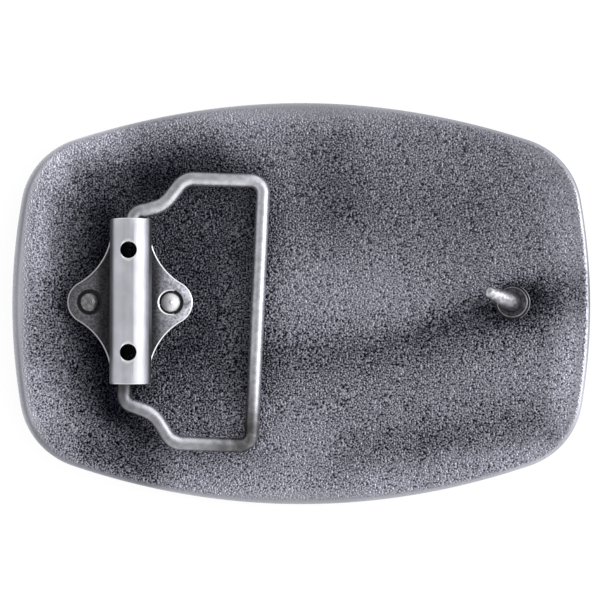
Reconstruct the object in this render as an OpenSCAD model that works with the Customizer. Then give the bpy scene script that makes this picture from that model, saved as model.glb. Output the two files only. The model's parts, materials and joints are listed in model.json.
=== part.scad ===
// Plate belt buckle with a swivelling wire bail and a fixed prong.
// It lies on its front, with the back up: +X runs along the belt from the hinge to the prong, +Y across the
// belt, +Z out of the back. The origin is the lowest point of the domed front. Millimetres and degrees.

/* [Plate] */
// Length of the plate along the belt
plate_length = 95.8; // [80:0.2:115]
// Height of the plate across the belt
plate_height = 67.3; // [56:0.1:81]
// Radius of the long upper and lower edges
long_edge_radius = 114; // [95:1:137]
// Radius of the two end edges
end_edge_radius = 100; // [84:1:120]
// Radius of the four corners
corner_radius = 13; // [11:0.5:15.5]
// Thickness of the casting
plate_thickness = 2.4; // [2:0.1:3]
// Thickness of the casting at its round edge
edge_thickness = 1.7; // [1.4:0.1:2]
// Radius of the bend along the belt
bend_along = 250; // [210:5:300]
// Radius of the bend across the belt
bend_across = 500; // [420:5:600]
// Rise of the turned-up rim above the bend
rim_rise = 1.2; // [0:0.1:1.5]
// Width of the turned-up rim at the two ends
rim_width = 9; // [7.5:0.5:11]

/* [Hinge bracket] */
// Distance from the end of the plate to the foot of the hinge
hinge_inset = 19.15; // [16:0.05:23]
// Length of the barrel
barrel_length = 27.2; // [22.6:0.1:32.7]
// Thickness of the stamped sheet
sheet = 1.1; // [0.9:0.05:1.3]
// Distance from the middle of the bracket to where an ear's flank goes under the barrel
ear_root = 10.4; // [8.7:0.1:11.2]
// Radius of the round end of an ear
ear_end_radius = 3.75; // [3.1:0.05:4.4]
// Radius of the hollow flanks of an ear
ear_flank_radius = 10.7; // [9:0.1:12.8]
// Distance between the two rivets
rivet_spacing = 13.4; // [12.5:0.1:16.1]
// Diameter of the two holes in the crest of the barrel
crest_hole_diameter = 2.75; // [2.2:0.05:3.2]
// Distance between the two crest holes
crest_hole_spacing = 16.75; // [14:0.25:19]
// Angle by which the crest holes are turned about the barrel, towards the end of the plate
crest_hole_turn = 8; // [0:1:12]
// Width of the bevel round a crest hole
crest_hole_bevel = 0.25; // [0.1:0.05:0.35]
// Width of the open seam under the barrel
seam_width = 0.8; // [0.6:0.1:1.2]
// Height of the cast pads under the ears
pad_height = 0.7; // [0.5:0.05:0.9]
// Diameter of the cast pads under the ears
pad_diameter = 5.6; // [4.6:0.1:6.8]

/* [Rivets] */
// Diameter of a rivet head
rivet_head_diameter = 3.2; // [2.8:0.1:3.6]
// Height of a rivet head above its seat
rivet_head_height = 0.95; // [0.8:0.05:1.15]
// Diameter of a rivet shank
rivet_shank_diameter = 2.2; // [1.8:0.1:2.4]
// Depth of a rivet shank below the back of the plate
rivet_depth = 1.4; // [1.1:0.1:1.6]
// Diameter of the sunk seat at the face of the ear
seat_diameter = 4.3; // [3.8:0.1:5]
// Depth of the sunk seat
seat_depth = 0.45; // [0.3:0.05:0.6]

/* [Bail] */
// Diameter of the wire
wire_diameter = 2.4; // [2:0.1:2.9]
// Clear width between the two arms, where the strap goes
strap_gap = 41.4; // [35:0.1:50]
// Distance from the hinge axis to the middle of the far bar
bail_reach = 21.5; // [18:0.1:25.7]
// Length of a leg, from its end in the barrel to the corner of its first bend
leg_length = 4.9; // [4.5:0.1:5.8]
// Angle at which an arm leaves its leg, from square
arm_angle = 18; // [12:0.5:22]
// Distance from the hinge axis to the second bend
arm_run = 5; // [4.2:0.1:5.8]
// Distance along the belt from the second bend to the third
flare_run = 3.25; // [2.8:0.05:3.9]
// How much the drawn metal thins in a bend, on the radius
bend_thinning = 0.02; // [0.01:0.01:0.05]
// Bend radius at the leg, on the middle line of the wire
leg_bend = 1.6; // [1.4:0.1:1.9]
// Bend radius of the hollow of the arm
hollow_bend = 5; // [4.2:0.1:6]
// Bend radius of the shoulder of the arm
shoulder_bend = 3.2; // [2.7:0.1:3.8]
// Bend radius at the two ends of the far bar
corner_bend = 2.05; // [1.8:0.05:3]
// How much farther the upper end of the far bar lies from the middle than the lower end
bar_spread = 0.45; // [0:0.05:0.6]
// Angle by which the loose bail lies askew in the barrel
bail_skew = 2.65; // [0:0.05:2.75]
// How far the loose bail has slid along the barrel
bail_slide = -1; // [-1.2:0.05:1.2]
// How far the loose legs lie off the middle of the barrel
bail_offset = -0.35; // [-0.4:0.05:0.4]

/* [Prong] */
// Distance from the end of the plate to the foot of the prong
prong_inset = 12.55; // [10.5:0.05:14.6]
// Diameter of the prong at its root
prong_root_diameter = 3; // [2.6:0.1:3.4]
// Diameter of the round tip
prong_tip_diameter = 1.9; // [1.6:0.05:2.3]
// Length of the tapered shaft
prong_shaft = 4.45; // [3.7:0.05:5.3]
// Radius of the bend between the root and the shaft
prong_bend = 2.5; // [2.1:0.1:3]
// Angle by which the shaft leans towards the hinge
prong_lean = 44; // [36:1:50]
// Angle by which the lean is turned across the belt
prong_turn = 22; // [0:1:30]
// Diameter of the tenon in the plate
tenon_diameter = 2.1; // [1.7:0.1:2.2]
// Depth of the tenon below the back of the plate
tenon_depth = 1.4; // [1.1:0.1:1.6]
// Diameter of the collar
collar_diameter = 5.2; // [4.6:0.1:5.7]
// Height of the collar
collar_height = 0.9; // [0.75:0.05:1.1]
// Width of the collar's round rim
collar_rim = 0.4; // [0.3:0.05:0.5]
// Thickness of the collar's floor round the prong
collar_floor = 0.35; // [0.3:0.05:0.45]
// Diameter of the cast pad under the collar
prong_pad_diameter = 6; // [5.8:0.1:7]
// Height of the cast pad under the collar
prong_pad_height = 0.3; // [0.2:0.05:0.4]

/* [Clearances] */
// Gap round a shank or tenon in the plate, on the radius
press_gap = 0.02; // [0.01:0.01:0.04]
// Gap round a rivet shank in its ear and round the prong in its collar, on the radius
hole_gap = 0.08; // [0.05:0.01:0.12]
// Gap under a shank or tenon in its blind bore
bottom_gap = 0.15; // [0.1:0.05:0.25]
// Play of a leg in the barrel, on the radius
leg_play = 1.15; // [1.1:0.05:1.4]
// Room between the two ends of the barrel and the bail's first corners, both together
end_play = 1.6; // [1.5:0.1:2.4]
// Gap between the resting bail and the back of the plate
bail_gap = 0.3; // [0.2:0.05:0.5]

/* [Hidden] */
$fn = 64;

// Colours as the photograph shows them
cast_colour = "#5b5962";
nickel_colour = "#c9cacf";
rivet_colour = "#b4b4b8";
collar_colour = "#77767c";

// Overlap that fuses two shapes of one piece, and reach of a cut past a face
overlap = 0.5;
// How far a straight run reaches into the bend beside it
bend_overlap = 0.1;

// Flat outline of the plate: two end arcs, two long arcs and four corner arcs, all tangent
end_centre = [plate_length / 2 - end_edge_radius, 0];
long_centre = [0, plate_height / 2 - long_edge_radius];
corner_centre = circles_meet(long_centre, long_edge_radius - corner_radius,
                             end_centre, end_edge_radius - corner_radius);
end_turn = direction(corner_centre - end_centre);
long_turn = direction(corner_centre - long_centre);
end_steps = 14;
corner_steps = 8;
long_steps = 20;

// Shape of the shell: share of the way to the edge where the rim starts to turn up, how square its start is,
// and the rings of points that carry the surface
rim_start = 1 - 2 * rim_width / plate_length;
rim_squareness = 4;
slope_step = 0.01;
field_rings = 5;
rim_rings = 4;
round_steps = 6;

// Bracket, in its own frame on the pads
wire_radius = wire_diameter / 2;
bore_radius = wire_radius + leg_play;
barrel_radius = bore_radius + sheet;
hinge_foot = hinge_inset - plate_length / 2;
axis_rise = pad_height + barrel_radius;
seat_floor = sheet - seat_depth;
seat_wall = (seat_diameter - rivet_head_diameter) / 4;

// Hinge axis, parallel to Y
hinge_axis = back_point(hinge_foot, 0) + plate_normal(hinge_foot, 0) * axis_rise;

// Middle line of the bail, from the end of one leg to the middle of the far bar
arm_height = (strap_gap + wire_diameter) / 2;
neck_height = (barrel_length + wire_diameter + end_play) / 2;
half_bail = [[0, neck_height - leg_length],
             [0, neck_height],
             [arm_run, neck_height + arm_run * tan(arm_angle)],
             [arm_run + flare_run, arm_height],
             [bail_reach, arm_height]];
half_bends = [0, leg_bend, hollow_bend, shoulder_bend, corner_bend];
upper_half = [for (i = [0:4]) half_bail[i] + [0, i == 4 ? bar_spread : 0]];
bail_line = concat(upper_half, [for (i = [4:-1:0]) [half_bail[i].x, -half_bail[i].y]]);
bail_bends = concat(half_bends, [for (i = [4:-1:0]) half_bends[i]]);
bail_drop = min([for (share = [-1:0.25:1]) drop_over(bail_spot(bail_reach, share * arm_height))]);

prong_foot = plate_length / 2 - prong_inset;
prong_root_radius = prong_root_diameter / 2;
collar_radius = collar_diameter / 2;

// Direction of a flat vector, from +X
function direction(v) = atan2(v.y, v.x);

// Upper right point where two circles meet
function circles_meet(c1, r1, c2, r2) =
    let (gap = norm(c2 - c1),
         along = (c2 - c1) / gap,
         reach = (r1 * r1 - r2 * r2 + gap * gap) / (2 * gap),
         side = sqrt(r1 * r1 - reach * reach),
         foot = c1 + along * reach,
         a = foot + side * [-along.y, along.x],
         b = foot - side * [-along.y, along.x])
    a.x + a.y > b.x + b.y ? a : b;

// Points of an arc without its last, each with its outward direction
function arc(centre, radius, from, to, steps) =
    [for (i = [0:steps - 1])
        let (turn = from + (to - from) * i / steps)
        [centre.x + radius * cos(turn), centre.y + radius * sin(turn), turn]];

// Outline of the plate, moved inward
function outline(inset) =
    let (cx = corner_centre.x,
         cy = corner_centre.y,
         corner = corner_radius - inset,
         long = long_edge_radius - inset,
         end = end_edge_radius - inset)
    concat(arc(end_centre, end, -end_turn, end_turn, end_steps),
           arc([cx, cy], corner, end_turn, long_turn, corner_steps),
           arc(long_centre, long, long_turn, 180 - long_turn, long_steps),
           arc([-cx, cy], corner, 180 - long_turn, 180 - end_turn, corner_steps),
           arc(-end_centre, end, 180 - end_turn, 180 + end_turn, end_steps),
           arc([-cx, -cy], corner, 180 + end_turn, 180 + long_turn, corner_steps),
           arc(-long_centre, long, 180 + long_turn, 360 - long_turn, long_steps),
           arc([cx, -cy], corner, 360 - long_turn, 360 - end_turn, corner_steps));

// Share of the way from the middle of the plate to its edge
function edge_share(x, y) =
    pow(pow(abs(2 * x / plate_length), rim_squareness) + pow(abs(2 * y / plate_height), rim_squareness),
        1 / rim_squareness);

// Height of the middle of the casting's wall
function mid_height(x, y) =
    plate_thickness / 2 + x * x / (2 * bend_along) + y * y / (2 * bend_across)
    + rim_rise * pow(max(0, (edge_share(x, y) - rim_start) / (1 - rim_start)), 2);

function plate_normal(x, y) =
    let (h = slope_step,
         along = (mid_height(x + h, y) - mid_height(x - h, y)) / (2 * h),
         across = (mid_height(x, y + h) - mid_height(x, y - h)) / (2 * h),
         n = [-along, -across, 1])
    n / norm(n);

// Half of the casting's thickness, at a share of the way to its edge
function half_wall(share) =
    plate_thickness / 2
    - (plate_thickness - edge_thickness) / 2 * pow(max(0, (share - rim_start) / (1 - rim_start)), 2);

// Point at a height above the middle of the wall
function wall_point(x, y, height) = [x, y, mid_height(x, y)] + plate_normal(x, y) * height;

// Point of the back, inside the rim
function back_point(x, y) = wall_point(x, y, plate_thickness / 2);

// Point of the round edge: turn 90 is on the back, -90 on the front
function edge_point(p, turn) =
    let (n = plate_normal(p.x, p.y),
         level = [cos(p.z), sin(p.z), 0],
         flat = level - n * (level * n),
         out = flat / norm(flat))
    [p.x, p.y, mid_height(p.x, p.y)] + edge_thickness / 2 * (cos(turn) * out + sin(turn) * n);

// Where a point of the bail lies, as reach from the hinge axis and place along it
function bail_spot(reach, along) =
    [bail_offset + reach * cos(bail_skew) + along * sin(bail_skew),
     bail_slide - reach * sin(bail_skew) + along * cos(bail_skew)];

// Angle by which the bail may drop before that point comes to its gap above the plate
function drop_over(spot) =
    let (back = back_point(hinge_axis.x + spot[0], spot[1]).z)
    asin((hinge_axis.z - back - wire_radius - bail_gap) / spot[0]);

// Puts its children on the back of the plate, at a place on its middle line, square to the surface
module on_plate(x) {
    n = plate_normal(x, 0);
    translate(back_point(x, 0))
        rotate([0, atan2(n.x, n.z), 0])
            children();
}

module both_rivets() {
    for (side = [-1, 1])
        translate([side * rivet_spacing / 2, 0, 0])
            children();
}

// Cast shell that thins towards its full round edge
module plate_shell() {
    edge = outline(edge_thickness / 2);
    count = len(edge);
    shares = concat([for (i = [1:field_rings]) rim_start * i / field_rings],
                    [for (i = [1:rim_rings]) rim_start + (1 - rim_start) * i / rim_rings]);
    last_share = len(shares) - 1;
    back = [for (s = shares) [for (p = edge) wall_point(p.x * s, p.y * s, half_wall(s))]];
    rim = [for (i = [1:round_steps - 1]) [for (p = edge) edge_point(p, 90 - 180 * i / round_steps)]];
    front = [for (i = [last_share:-1:0])
                let (s = shares[i])
                [for (p = edge) wall_point(p.x * s, p.y * s, -half_wall(s))]];
    rings = concat(back, rim, front);
    ring_points = [for (ring = rings) each ring];
    last = len(ring_points);
    polyhedron(
        points = concat(ring_points, [wall_point(0, 0, half_wall(0)), wall_point(0, 0, -half_wall(0))]),
        faces = concat(
            [for (i = [0:count - 1]) [last, (i + 1) % count, i]],
            [for (r = [0:len(rings) - 2]) for (i = [0:count - 1])
                [r * count + i, r * count + (i + 1) % count, (r + 1) * count + i]],
            [for (r = [0:len(rings) - 2]) for (i = [0:count - 1])
                [r * count + (i + 1) % count, (r + 1) * count + (i + 1) % count, (r + 1) * count + i]],
            [for (i = [0:count - 1]) [last + 1, last - count + i, last - count + (i + 1) % count]]));
}

module plate() {
    color(cast_colour)
        difference() {
            union() {
                plate_shell();
                on_plate(hinge_foot)
                    both_rivets()
                        translate([0, 0, -overlap])
                            cylinder(d = pad_diameter, h = pad_height + overlap);
                on_plate(prong_foot)
                    translate([0, 0, -overlap])
                        cylinder(d = prong_pad_diameter, h = prong_pad_height + overlap);
            }
            on_plate(hinge_foot)
                both_rivets()
                    translate([0, 0, -rivet_depth - bottom_gap])
                        cylinder(r = rivet_shank_diameter / 2 + press_gap,
                                 h = rivet_depth + pad_height + overlap);
            on_plate(prong_foot)
                translate([0, 0, -tenon_depth - bottom_gap])
                    cylinder(r = tenon_diameter / 2 + press_gap,
                             h = tenon_depth + prong_pad_height + overlap);
        }
}

// Section of the bore and of the open seam under it, where the sheet turns out into the two ears
module hollow_section() {
    circle(bore_radius);
    translate([-seam_width / 2, -barrel_radius - overlap])
        square([seam_width, barrel_radius + overlap]);
}

// Plan of the two ears: round ends that run under the barrel by hollow flanks
module ear_plan() {
    rivet_spot = [rivet_spacing / 2, 0];
    root = [barrel_radius, ear_root];
    flank = circles_meet(rivet_spot, ear_end_radius + ear_flank_radius, root, ear_flank_radius);
    for (u = [0, 1])
        mirror([u, 0]) {
            translate(rivet_spot)
                circle(ear_end_radius);
            for (v = [0, 1])
                mirror([0, v])
                    difference() {
                        polygon([[0, 0], rivet_spot, flank, root, [0, ear_root]]);
                        translate(flank)
                            circle(ear_flank_radius);
                    }
        }
}

module along_barrel(length) {
    translate([0, 0, barrel_radius])
        rotate([90, 0, 0])
            linear_extrude(length, center = true)
                children();
}

// Hole from the bore through the crest of the barrel, with a bevel at its mouth
module crest_hole() {
    cylinder(d = crest_hole_diameter, h = barrel_radius + overlap);
    translate([0, 0, barrel_radius - crest_hole_bevel])
        cylinder(d1 = crest_hole_diameter,
                 d2 = crest_hole_diameter + 4 * crest_hole_bevel,
                 h = 2 * crest_hole_bevel);
}

module hinge_bracket() {
    color(nickel_colour)
        on_plate(hinge_foot)
            translate([0, 0, pad_height])
                difference() {
                    union() {
                        along_barrel(barrel_length)
                            circle(barrel_radius);
                        linear_extrude(sheet)
                            ear_plan();
                    }
                    along_barrel(barrel_length + 2 * overlap)
                        hollow_section();
                    both_rivets() {
                        translate([0, 0, -overlap])
                            cylinder(r = rivet_shank_diameter / 2 + hole_gap, h = sheet + 2 * overlap);
                        translate([0, 0, seat_floor])
                            cylinder(r1 = rivet_head_diameter / 2 + seat_wall,
                                     r2 = seat_diameter / 2,
                                     h = seat_depth);
                    }
                    for (side = [-1, 1])
                        translate([0, side * crest_hole_spacing / 2, barrel_radius])
                            rotate([0, -crest_hole_turn, 0])
                                crest_hole();
                }
}

// Rivet with its seat at height 0: a low dome with the small nib left by setting, and its shank
module rivet() {
    brim = rivet_head_height / 4;
    dome = rivet_head_height - brim;
    head_radius = rivet_head_diameter / 2;
    dome_radius = (head_radius * head_radius + dome * dome) / (2 * dome);
    nib_radius = head_radius / 5;
    shank = seat_floor + pad_height + rivet_depth;
    intersection() {
        cylinder(r = head_radius, h = rivet_head_height + overlap);
        translate([0, 0, rivet_head_height - dome_radius])
            sphere(dome_radius);
    }
    translate([0, 0, rivet_head_height - nib_radius / 4])
        cylinder(r1 = nib_radius, r2 = nib_radius / 3, h = nib_radius / 2);
    translate([0, 0, -shank])
        cylinder(d = rivet_shank_diameter, h = shank + brim);
}

module placed_rivet(side) {
    color(rivet_colour)
        on_plate(hinge_foot)
            translate([side * rivet_spacing / 2, 0, pad_height + seat_floor])
                rivet();
}

module rivet_left() {
    placed_rivet(-1);
}

module rivet_right() {
    placed_rivet(1);
}

// Round wire along a flat line of corners, each bent to its radius
module bent_wire(line, bends, radius) {
    last = len(line) - 1;
    runs = [for (i = [0:last - 1]) line[i + 1] - line[i]];
    turns = [for (i = [1:last - 1])
                let (change = direction(runs[i]) - direction(runs[i - 1]))
                change > 180 ? change - 360 : change < -180 ? change + 360 : change];
    trims = concat([0], [for (i = [1:last - 1]) bends[i] * tan(abs(turns[i - 1]) / 2)], [0]);
    for (i = [0:last - 1]) {
        heading = direction(runs[i]);
        begin = i == 0 ? 0 : trims[i] - bend_overlap;
        finish = i == last - 1 ? 0 : trims[i + 1] - bend_overlap;
        translate([line[i].x + begin * cos(heading), line[i].y + begin * sin(heading), 0])
            rotate([0, 90, heading])
                cylinder(r = radius, h = norm(runs[i]) - begin - finish);
    }
    for (i = [1:last - 1]) {
        heading = direction(runs[i - 1]);
        side = sign(turns[i - 1]);
        start = line[i] - trims[i] * [cos(heading), sin(heading)];
        centre = start + side * bends[i] * [-sin(heading), cos(heading)];
        translate([centre.x, centre.y, 0])
            rotate([0, 0, heading - side * 90 + min(0, turns[i - 1])])
                rotate_extrude(angle = abs(turns[i - 1]))
                    translate([bends[i], 0])
                        circle(radius - bend_thinning);
    }
}

module bail() {
    color(nickel_colour)
        translate(hinge_axis)
            rotate([0, bail_drop, 0])
                translate([bail_offset, bail_slide, 0])
                    rotate([0, 0, -bail_skew])
                        bent_wire(bail_line, bail_bends, wire_radius);
}

// Peg with a tenon in the plate, a root that stands square in the collar, a bend, and a tapered leaning shaft
module prong() {
    root_height = collar_floor + collar_rim;
    tip_radius = prong_tip_diameter / 2;
    color(nickel_colour)
        on_plate(prong_foot) {
            translate([0, 0, -tenon_depth])
                cylinder(d = tenon_diameter, h = tenon_depth + prong_pad_height);
            translate([0, 0, prong_pad_height])
                cylinder(r = prong_root_radius, h = root_height + bend_overlap);
            translate([0, 0, prong_pad_height + root_height])
                rotate([0, 0, 180 - prong_turn])
                    translate([prong_bend, 0, 0]) {
                        rotate([90, prong_lean - 180, 0])
                            rotate_extrude(angle = prong_lean)
                                translate([prong_bend, 0])
                                    circle(prong_root_radius - bend_thinning);
                        rotate([0, prong_lean, 0])
                            translate([-prong_bend, 0, -bend_overlap]) {
                                cylinder(r1 = prong_root_radius, r2 = tip_radius, h = prong_shaft);
                                translate([0, 0, prong_shaft])
                                    sphere(tip_radius);
                            }
                    }
        }
}

// Dished ring with a round rim
module prong_collar() {
    bore = prong_root_radius + hole_gap;
    rim_radius = collar_rim / 2;
    rim_middle = [collar_radius - rim_radius, collar_height - rim_radius];
    color(collar_colour)
        on_plate(prong_foot)
            translate([0, 0, prong_pad_height])
                rotate_extrude() {
                    polygon([[bore, 0], [collar_radius, 0], [collar_radius, rim_middle.y], rim_middle,
                             [rim_middle.x - rim_radius, rim_middle.y], [bore, collar_floor]]);
                    translate(rim_middle)
                        circle(rim_radius);
                }
}

plate();
hinge_bracket();
rivet_left();
rivet_right();
bail();
prong();
prong_collar();
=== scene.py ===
"""Looks of a plate belt buckle that lies on its front, with its back, hinge, wire bail and prong up."""
import json
import math

import bpy
import numpy as np
from mathutils import Matrix, Vector


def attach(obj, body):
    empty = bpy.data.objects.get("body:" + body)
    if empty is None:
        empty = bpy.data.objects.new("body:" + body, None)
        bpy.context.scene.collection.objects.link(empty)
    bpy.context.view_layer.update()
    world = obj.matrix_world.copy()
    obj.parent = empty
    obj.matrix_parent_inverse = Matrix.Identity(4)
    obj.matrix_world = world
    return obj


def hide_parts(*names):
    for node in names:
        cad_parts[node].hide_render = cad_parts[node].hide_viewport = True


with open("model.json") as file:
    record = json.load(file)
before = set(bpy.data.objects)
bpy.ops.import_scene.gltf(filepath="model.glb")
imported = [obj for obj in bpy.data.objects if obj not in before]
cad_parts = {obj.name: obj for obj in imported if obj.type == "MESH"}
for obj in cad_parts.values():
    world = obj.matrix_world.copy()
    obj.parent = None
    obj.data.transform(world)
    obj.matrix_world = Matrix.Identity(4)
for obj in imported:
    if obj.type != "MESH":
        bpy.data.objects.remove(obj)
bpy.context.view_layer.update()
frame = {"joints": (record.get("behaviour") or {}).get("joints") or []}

MM = 0.001

# Sizes of the construction, in metres and radians
PLATE_LENGTH = 95.8 * MM
PLATE_HEIGHT = 67.3 * MM
LONG_EDGE_RADIUS = 114 * MM
END_EDGE_RADIUS = 100 * MM
CORNER_RADIUS = 13 * MM
PLATE_THICKNESS = 2.4 * MM
EDGE_THICKNESS = 1.7 * MM
BEND_ALONG = 250 * MM
BEND_ACROSS = 500 * MM
RIM_RISE = 1.2 * MM
RIM_WIDTH = 9 * MM
RIM_SQUARENESS = 4
RIM_START = 1 - 2 * RIM_WIDTH / PLATE_LENGTH

HINGE_FOOT = 19.15 * MM - PLATE_LENGTH / 2
BARREL_LENGTH = 27.2 * MM
BARREL_RADIUS = 3.45 * MM
BORE_RADIUS = 2.35 * MM
SHEET = 1.1 * MM
EAR_ROOT = 10.4 * MM
EAR_END_RADIUS = 3.75 * MM
EAR_FLANK_RADIUS = 10.7 * MM
RIVET_SPACING = 13.4 * MM
CREST_HOLE_RADIUS = 1.375 * MM
CREST_HOLE_SPACING = 16.75 * MM
CREST_HOLE_BEVEL = 0.25 * MM
CREST_HOLE_TURN = math.radians(8)
SEAM_WIDTH = 0.8 * MM
PAD_HEIGHT = 0.7 * MM
PAD_RADIUS = 2.8 * MM

RIVET_HEAD_RADIUS = 1.6 * MM
RIVET_HEAD_HEIGHT = 0.95 * MM
RIVET_SHANK_RADIUS = 1.1 * MM
RIVET_DEPTH = 1.4 * MM
SEAT_RADIUS = 2.15 * MM
SEAT_FLOOR_RADIUS = 1.875 * MM
SEAT_DEPTH = 0.45 * MM
SEAT_BEVEL = 0.1 * MM
HOLE_GAP = 0.08 * MM

WIRE_RADIUS = 1.2 * MM
STRAP_GAP = 41.4 * MM
ARM_HEIGHT = STRAP_GAP / 2 + WIRE_RADIUS
BAR_SPREAD = 0.45 * MM
BAIL_REACH = 21.5 * MM
LEG_LENGTH = 4.9 * MM
NECK_HEIGHT = 15.6 * MM
ARM_ANGLE = math.radians(18)
ARM_RUN = 5 * MM
FLARE_RUN = 3.25 * MM
LEG_BEND = 1.6 * MM
HOLLOW_BEND = 5 * MM
SHOULDER_BEND = 3.2 * MM
CORNER_BEND = 2.05 * MM
BAIL_SKEW = math.radians(2.65)
BAIL_SLIDE = -1 * MM
BAIL_OFFSET = -0.35 * MM
BAIL_GAP = 0.3 * MM

PRONG_FOOT = PLATE_LENGTH / 2 - 12.55 * MM
PRONG_ROOT_RADIUS = 1.5 * MM
PRONG_TIP_RADIUS = 0.95 * MM
PRONG_SHAFT = 4.35 * MM
PRONG_BEND = 2.5 * MM
PRONG_LEAN = math.radians(44)
PRONG_TURN = math.radians(22)
TENON_RADIUS = 1.05 * MM
TENON_DEPTH = 1.4 * MM
COLLAR_RADIUS = 2.6 * MM
COLLAR_HEIGHT = 0.9 * MM
COLLAR_RIM = 0.4 * MM
COLLAR_FLOOR = 0.35 * MM
PRONG_PAD_RADIUS = 3 * MM
PRONG_PAD_HEIGHT = 0.3 * MM

# Softened edges of the bracket, in metres, and the plan of the plate drawn in to stay inside the CAD box
BARREL_ROUNDING = 0.16 * MM
EAR_ROUNDING = 0.27 * MM
PLAN_SCALE = 0.9997

# Fineness of the meshes
OUTLINE_FINENESS = 13
LATHE_SIDES = 96
WIRE_SIDES = 48
BARREL_SIDES = 144
SHARP_ANGLE = math.radians(35)

# Material slots of the plate and of the hinge bracket, which both have the dark recess last
CAST, POLISHED, LIT_PAD_SIDE, RECESS = range(4)
TUBE, EAR, EDGE = range(3)

# Range that most values of a noise lie in
MOST_NOISE = (0.3, 0.7)

# Marks painted on the back: start, stop and width in mm, and the share of brightness lost, or won if negative
MARKS = {
    # Darker round the hinge, with painted shadows beside the bail's arms at rest and under the barrel's lower
    # end
    "dark above the hinge": [
        ((-26, 21), (-15, 24), 4.5, 0.58),
        ((-21, 25.5), (-15, 26), 2.2, 0.28),
        ((-28.5, 17.5), (-21.5, 21.3), 2.4, 0.22),
    ],
    "dark below the hinge": [
        ((-33, -15), (-26.5, -22.5), 4.3, 0.62),
        ((-29.5, -18.5), (-25.6, -21.7), 2.4, 0.52),
        ((-34.5, -24.2), (-26, -28), 2.8, 0.58),
        ((-27.5, -13.8), (-25.6, -14.2), 1.4, 0.60),
    ],
    # Painted shadow of the barrel, to its left and below its lower end
    "painted shadow beside the barrel": [
        ((-32.8, 15), (-32.8, 8.5), 2.6, 0.70),
        ((-32.8, -8.5), (-31.5, -18), 3.0, 0.75),
    ],
    # Painted shadows round the ears
    "painted shadow round the ears": [
        ((-38, 4), (-34, 8), 2.4, 0.40),
        ((-39.8, 0.8), (-34, -8), 2.4, 0.62),
        ((-16.8, 4), (-21.5, 9.5), 2.4, 0.30),
        ((-16.8, -4), (-21.5, -9.5), 2.4, 0.30),
    ],
    # Painted highlights at the left end and along the long edges, where the rising edge faces the light
    "painted highlight at the left end": [
        ((-39, 23), (-32, 24.5), 3.8, -1.15),
        ((-41, 22), (-38, 18), 3.0, -0.35),
        ((-43, 7), (-42.5, 19), 2.4, -0.50),
        ((-43.8, 0), (-43.2, 16), 1.6, -0.38),
        ((-43.4, -12), (-42.8, -18.5), 2.2, -0.55),
        ((-39, -17), (-37, -20), 3.2, -0.50),
    ],
    "painted highlight along the long edges": [
        ((-14, 27), (0, 26), 4.6, -0.30),
        ((-18, -28.5), (-2, -29), 3.2, -0.32),
        ((12, -29), (38, -25.5), 3.2, -0.38),
    ],
    "dark near the long edges": [
        ((8, -25.4), (21, -23.3), 3.0, 0.26),
        ((21, -23.3), (38.5, -19.8), 3.0, 0.34),
        ((16, 29.6), (34, 26.3), 2.4, 0.08),
    ],
    "dark and bright beside the bar of the bail": [
        ((-5, 16), (-5, 8), 3.0, 0.30),
        ((-11.2, 2), (-11, -8), 2.6, -0.40),
        ((-9, -20.5), (2, -24), 5.0, -0.36),
    ],
    "bright in the middle, dark to its upper right": [
        ((-3, 3), (16, 1), 6.0, -0.32),
        ((3, 25), (4.5, 16), 6.5, 0.45),
        ((9, 17), (26, 15), 7.0, 0.24),
        ((26, 17), (42, 20), 6.5, 0.10),
    ],
    # Painted highlights at the right end, whose edge faces the lamp
    "painted highlight at the right end": [
        ((34, -12), (43, -12), 5.0, -0.18),
        ((44.5, -5), (43, -18), 2.5, -0.35),
        ((44.5, 7), (41.8, 17.5), 2.5, -0.25),
    ],
    # Painted shadow round the collar
    "painted shadow round the collar": [
        ((31, -4.2), (38, -3.6), 1.8, 0.25),
        ((35, 0.4), (38.6, 1.4), 2.9, 0.80),
        ((36.5, -2.2), (38, -2.2), 1.3, 0.40),
        ((29.8, -0.6), (33, -2.9), 1.6, 0.45),
        ((34.5, 2.9), (36.5, 3), 1.1, 0.35),
    ],
}


# Shape of the plate

def circles_meet(centre_a, radius_a, centre_b, radius_b):
    """Upper right point where two circles meet."""
    gap = np.linalg.norm(centre_b - centre_a)
    along = (centre_b - centre_a) / gap
    reach = (radius_a * radius_a - radius_b * radius_b + gap * gap) / (2 * gap)
    side = math.sqrt(radius_a * radius_a - reach * reach) * np.array([-along[1], along[0]])
    return max(centre_a + along * reach + side, centre_a + along * reach - side, key=sum)


def arc(centre, radius, start, stop, steps):
    """Points of an arc without its last, each with its outward direction."""
    turn = np.linspace(start, stop, steps, endpoint=False)
    return np.column_stack([centre[0] + radius * np.cos(turn), centre[1] + radius * np.sin(turn), turn])


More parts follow.
